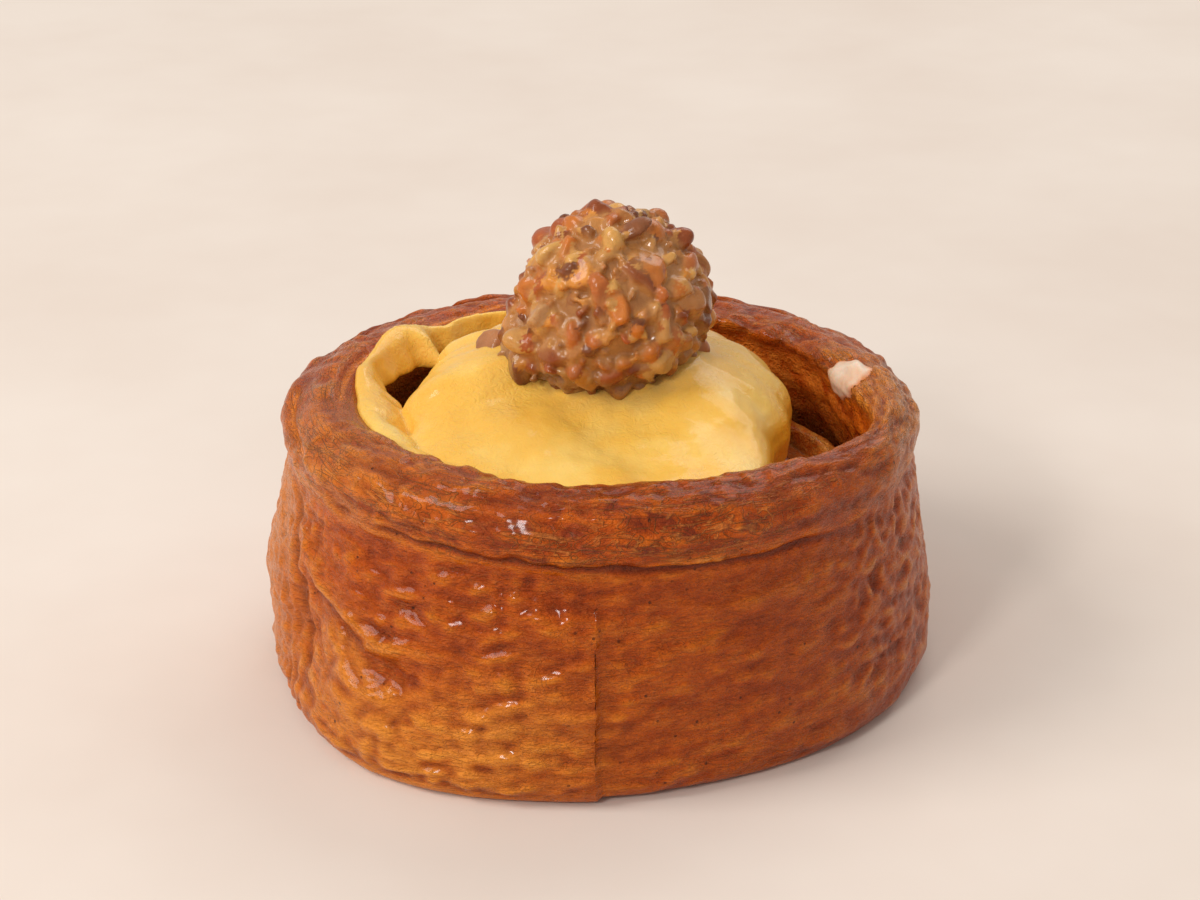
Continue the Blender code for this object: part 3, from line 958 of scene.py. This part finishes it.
def attribute(tree, name, output="Fac"):
    return add(tree, "Attribute", attribute_name=name).outputs[output]


def scaled(vector, scale):
    return add(vector.id_data, "Mapping", {"Vector": vector, "Scale": scale}).outputs["Vector"]


def noise(vector, scale, detail=2.0, rough=0.5, distortion=0.0):
    inputs = {"Vector": vector, "Scale": scale, "Detail": detail, "Roughness": rough,
              "Distortion": distortion}
    return add(vector.id_data, "TexNoise", inputs).outputs["Fac"]


def calculate(operation, first, second=0.0, clamp=False):
    made = add(first.id_data, "Math", {0: first, 1: second}, operation=operation, use_clamp=clamp)
    return made.outputs[0]


def times(first, second, clamp=False):
    return calculate("MULTIPLY", first, second, clamp)


def reranged(value, low, high, new_low=0.0, new_high=1.0):
    inputs = {"Value": value, "From Min": low, "From Max": high, "To Min": new_low, "To Max": new_high}
    return add(value.id_data, "MapRange", inputs).outputs["Result"]


def mixed(factor, first, second, blend="MIX"):
    made = add(factor.id_data, "Mix", data_type="RGBA", blend_type=blend)
    for socket, value in ((made.inputs[0], factor), (made.inputs[6], first), (made.inputs[7], second)):
        if isinstance(value, bpy.types.NodeSocket):
            factor.id_data.links.new(value, socket)
        else:
            socket.default_value = (*value, 1.0)
    return made.outputs[2]


def ramp(value, stops):
    made = add(value.id_data, "ValToRGB", {"Fac": value})
    elements = made.color_ramp.elements
    while len(elements) < len(stops):
        elements.new(0.5)
    for element, (position, colour) in zip(elements, stops):
        element.position = position
        element.color = (*srgb(*colour), 1.0)
    return made.outputs["Color"]


def thin_lines(value):
    """1 along the middle contour of a noise, which makes fine curling lines."""
    return reranged(calculate("ABSOLUTE", calculate("SUBTRACT", value, 0.5)), 0.0, LINE_WIDTH, 1.0, 0.0)


def bumped(height, distance, strength):
    inputs = {"Height": height, "Distance": distance * MM, "Strength": strength}
    return add(height.id_data, "Bump", inputs).outputs["Normal"]


def new_material(name):
    material = bpy.data.materials.new(name)
    material.use_nodes = True
    return material, material.node_tree, material.node_tree.nodes["Principled BSDF"]


def set_inputs(shader, values):
    """Links or sets the shader's inputs."""
    for name, value in values.items():
        if isinstance(value, bpy.types.NodeSocket):
            value.id_data.links.new(value, shader.inputs[name])
        else:
            shader.inputs[name].default_value = value


LINE_WIDTH = 0.035


def crust_material():
    """Egg-washed crust: deep orange-brown, with painted shade in its recesses and painted light on its
    crests, a darker-browned rim with a painted purple-brown sheen, and painted light and shade in places.
    """
    material, tree, shader = new_material("crust")
    flow = attribute(tree, "flow", "Vector")
    relief = attribute(tree, "relief")

    def strands(around, across, *settings):
        return noise(scaled(flow, (around, around, across)), 1.0, *settings)

    patches = strands(0.08, 0.14, 3.0, 0.55)
    streaks = strands(0.22, 0.6, 4.0, 0.55, 0.6)
    fine = strands(0.7, 1.7, 3.0, 0.6, 1.0)
    crinkle = strands(1.1, 2.0, 2.0, 0.5, 0.6)
    long_lines = thin_lines(strands(0.10, 0.8, 2.0, 0.45, 0.6))
    curls = thin_lines(strands(0.26, 0.5, 1.0, 0.4, 2.0))
    shown = calculate("MAXIMUM", attribute(tree, "layers"), 0.4)
    shown = times(shown, reranged(patches, 0.4, 0.6, 0.25, 1.0))
    lines = times(calculate("MAXIMUM", long_lines, curls), shown)
    cells = add(tree, "TexVoronoi", {"Vector": flow, "Scale": 0.42, "Randomness": 1.0})
    pits = times(reranged(cells.outputs["Distance"], 0.05, 0.11, 1.0, 0.0),
                 reranged(strands(0.05, 0.08, 2.0), 0.46, 0.56), clamp=True)

    # The tone follows the relief: painted shade in the recesses, painted light on the crests.
    tone = times(reranged(relief, 0.1, 0.9), 0.46)
    for part, share in ((patches, 0.26), (streaks, 0.18), (fine, 0.08)):
        tone = calculate("ADD", tone, times(reranged(part, 0.3, 0.7), share))
    colour = ramp(tone, [(0.12, (122, 38, 0)), (0.36, (166, 62, 0)), (0.56, (196, 84, 2)),
                         (0.76, (218, 112, 16)), (0.95, (240, 154, 64))])
    # Painted light, stronger on the crests.
    painted_light = times(attribute(tree, "painted_light"), reranged(relief, 0.1, 0.7, 0.1, 0.75))
    crest = times(reranged(relief, 0.55, 0.95), attribute(tree, "crumple"))
    # Darker-browned rim with a painted purple-brown sheen, and painted shade under the rim.
    bake_sheen_and_shade = times(attribute(tree, "bake_sheen_and_shade"), reranged(streaks, 0.42, 0.62), clamp=True)
    streaked = reranged(streaks, 0.35, 0.65)
    inner = mixed(streaked, srgb(170, 60, 2), srgb(232, 116, 20))
    # The coil ridge's lighter orange is painted light.
    ridge = mixed(streaked, srgb(232, 112, 18), srgb(255, 176, 76))
    # Each layer of colour in turn: where it lies, how strong it is, and its shade.
    for cover, share, shade in (
            (painted_light, 1.0, srgb(240, 150, 52)),
            (attribute(tree, "lobe"), 0.6, srgb(232, 140, 50)),
            (crest, 0.5, srgb(232, 150, 82)),
            (bake_sheen_and_shade, 1.0, srgb(132, 46, 14)),
            (lines, 0.3, srgb(250, 170, 84)),
            (attribute(tree, "dough"), 1.0, srgb(236, 128, 30)),
            (attribute(tree, "shade"), 0.75, srgb(104, 34, 6)),
            (attribute(tree, "inside"), 1.0, inner),
            # Painted shade deep in the channel.
            (attribute(tree, "depth_shade"), 0.8, srgb(88, 34, 6)),
            # Painted shade in the hole under the smear.
            (attribute(tree, "hollow_shade"), 0.85, srgb(72, 12, 4)),
            (attribute(tree, "ridge"), 1.0, ridge),
            (pits, 0.75, srgb(60, 22, 8))):
        colour = mixed(times(cover, share), colour, shade)

    height = times(streaks, 0.7)
    for part, share in ((fine, 0.6), (lines, 0.35), (pits, -0.4), (crinkle, 0.45)):
        height = calculate("ADD", height, times(part, share))
    set_inputs(shader, {
        "Base Color": colour,
        "Normal": bumped(height, 1.2, 1.0),
        "Roughness": reranged(streaks, 0.3, 0.7, 0.24, 0.42),
        "Specular IOR Level": 0.22,
        "Specular Tint": (1.0, 0.6, 0.3, 1.0),
        "Coat Weight": 0.3,
        "Coat Roughness": 0.12,
    })
    return material


def custard_material():
    """Pastry cream: pale yellow, a deeper yellow on its steep sides near the edge, most at the right, moist
    with soft uneven gloss.
    """
    material, tree, shader = new_material("custard")
    rest = attribute(tree, "rest", "Vector")
    cloud = noise(rest, 0.09, 3.0, 0.5)
    colour = ramp(cloud, [(0.3, (242, 182, 72)), (0.5, (245, 190, 82)), (0.7, (249, 204, 106))])
    stain = times(attribute(tree, "halo"), reranged(noise(rest, 0.3), 0.3, 0.6))
    for cover, share, shade in ((attribute(tree, "edge"), 0.8, (250, 172, 30)),
                                # painted shade along the folds
                                (attribute(tree, "fold"), 0.12, (226, 160, 56)),
                                (stain, 0.6, (178, 150, 96))):
        colour = mixed(times(cover, share), colour, srgb(*shade))
    ripples = noise(rest, 0.75, 2.0, 0.5, 1.4)
    wet_area = reranged(noise(rest, 0.06), 0.4, 0.6, 0.25, 1.0)
    set_inputs(shader, {
        "Base Color": colour,
        "Normal": bumped(times(ripples, wet_area), 0.32, 0.9),
        "Roughness": reranged(noise(rest, 0.22, 3.0, 0.6), 0.35, 0.65, 0.26, 0.46),
        "Subsurface Weight": 0.18,
        "Subsurface Radius": (1.0, 0.6, 0.25),
        "Subsurface Scale": 0.002,
        "Coat Weight": 0.4,
        "Coat Roughness": 0.1,
        "Specular IOR Level": 0.2,
        "Specular Tint": (1.0, 0.8, 0.55, 1.0),
    })
    return material


def nut_material():
    """Chopped nuts under syrup: the colour of each piece is kept on the mesh."""
    material, tree, shader = new_material("glazed_nuts")
    place = add(tree, "TexCoord").outputs["Object"]
    mottle = reranged(noise(place, 900.0, 3.0, 0.6), 0.3, 0.7, 0.0, 0.35)
    set_inputs(shader, {
        "Base Color": mixed(mottle, attribute(tree, "tint", "Color"), (0.9, 0.8, 0.7), "MULTIPLY"),
        "Normal": bumped(noise(place, 1000.0, 3.0, 0.6, 0.5), 0.35, 0.6),
        "Roughness": reranged(noise(place, 260.0), 0.3, 0.7, 0.22, 0.45),
        "Coat Weight": 0.5,
        "Coat Roughness": 0.1,
        "Specular IOR Level": 0.25,
        "Specular Tint": (1.0, 0.7, 0.45, 1.0),
        "Subsurface Weight": 0.1,
        "Subsurface Radius": (1.0, 0.5, 0.25),
        "Subsurface Scale": 0.001,
    })
    return material


def icing_material():
    """Pale icing that thins out into the crust's colour at its border."""
    material, tree, shader = new_material("icing")
    place = add(tree, "TexCoord").outputs["Object"]
    cloud = reranged(noise(place, 260.0, 3.0), 0.35, 0.65)
    colour = mixed(cloud, srgb(248, 222, 196), srgb(238, 196, 160))
    set_inputs(shader, {
        "Base Color": mixed(attribute(tree, "cover"), srgb(222, 132, 66), colour),
        "Normal": bumped(noise(place, 700.0), 0.15, 0.3),
        "Roughness": 0.4,
        "Subsurface Weight": 0.15,
        "Subsurface Scale": 0.001,
    })
    return material


def floor_material():
    """A matt pale table, with very faint clouds."""
    material, tree, shader = new_material("table")
    place = add(tree, "TexCoord").outputs["Object"]
    cloud = reranged(noise(place, 9.0, 4.0, 0.6), 0.35, 0.65)
    set_inputs(shader, {
        "Base Color": mixed(cloud, srgb(230, 213, 198), srgb(236, 221, 207)),
        "Roughness": 0.9,
        "Specular IOR Level": 0.1,
    })
    return material


# ---- camera and light


CAMERA_LENS = 78.0
CAMERA_PLACE = (0.0, -0.3943, 0.2168)
CAMERA_DOWN = 24.73

# The lamps: name, place in metres, width and power. All of them point at LAMP_TARGET.
LAMP_TARGET = (0.0, 0.0, 0.03)
LAMPS = [
    ("key", (-1.1, -0.3, 1.1), 0.7, 11.0),
    ("fill", (0.4, 0.8, 1.0), 0.9, 5.0),
    ("glint", (-0.4, -0.7, 0.55), 0.14, 2.4),
]
SURROUND = 0.48
TABLE_HALF = 2.5


def make_camera():
    """From the front, looking down by CAMERA_DOWN degrees."""
    data = bpy.data.cameras.new("camera")
    data.lens = CAMERA_LENS
    data.sensor_width = 36.0
    camera = linked("camera", data)
    camera.location = CAMERA_PLACE
    camera.rotation_euler = (math.radians(90.0 - CAMERA_DOWN), 0.0, 0.0)
    bpy.context.scene.camera = camera


def make_lamp(name, place, size, power):
    data = bpy.data.lights.new(name, "AREA")
    data.size = size
    data.energy = power
    lamp = linked(name, data)
    lamp.location = place
    lamp.rotation_euler = (Vector(LAMP_TARGET) - Vector(place)).to_track_quat("-Z", "Y").to_euler()


def make_studio():
    """A pale floor, a large lamp at the left, a weaker one behind, a small one for glints, a surround."""
    floor_mesh = bpy.data.meshes.new("table")
    corners = [(x * TABLE_HALF, y * TABLE_HALF, 0.0) for x, y in ((-1, -1), (1, -1), (1, 1), (-1, 1))]
    floor_mesh.from_pydata(corners, [], [(0, 1, 2, 3)])
    floor_mesh.materials.append(floor_material())
    table = linked("table", floor_mesh)
    for lamp in LAMPS:
        make_lamp(*lamp)
    world = bpy.data.worlds.new("surround")
    world.use_nodes = True
    back = world.node_tree.nodes["Background"]
    back.inputs["Color"].default_value = (1.0, 1.0, 1.0, 1.0)
    back.inputs["Strength"].default_value = SURROUND
    bpy.context.scene.world = world
    bpy.context.scene.view_settings.view_transform = "Standard"


# ---- the pastry


def keep(piece, node):
    """The piece rides on the pastry's one body and takes the place of a CAD node."""
    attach(piece, "root")
    if node:
        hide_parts(node)


make_camera()
make_studio()
crust = crust_material()
nut_look = nut_material()

skin = Surface()
moved, paint = crust_relief(skin)
inner_end = int(np.searchsorted(skin.across, skin.edge - 9.0))
rim_end = int(np.searchsorted(skin.across, skin.crease + 0.6))
inner_rows = np.arange(inner_end % 2, inner_end + 1, 2)
wall_rows = np.arange(rim_end, len(skin.across))
for name, rows, pole in (("crust_inside", inner_rows, None),
                         ("crust_rim", np.arange(inner_end, rim_end + 1), None),
                         ("crust_wall", wall_rows, (0.0, 0.0, 0.0))):
    keep(crust_piece(name, skin, moved, paint, rows, crust, pole), "pastry")
keep(make_custard(custard_material()), "custard")
keep(make_nut_ball(nut_look), "nut_ball")
keep(make_nut_crumbs(nut_look), None)
keep(make_icing(skin, moved, icing_material()), None)
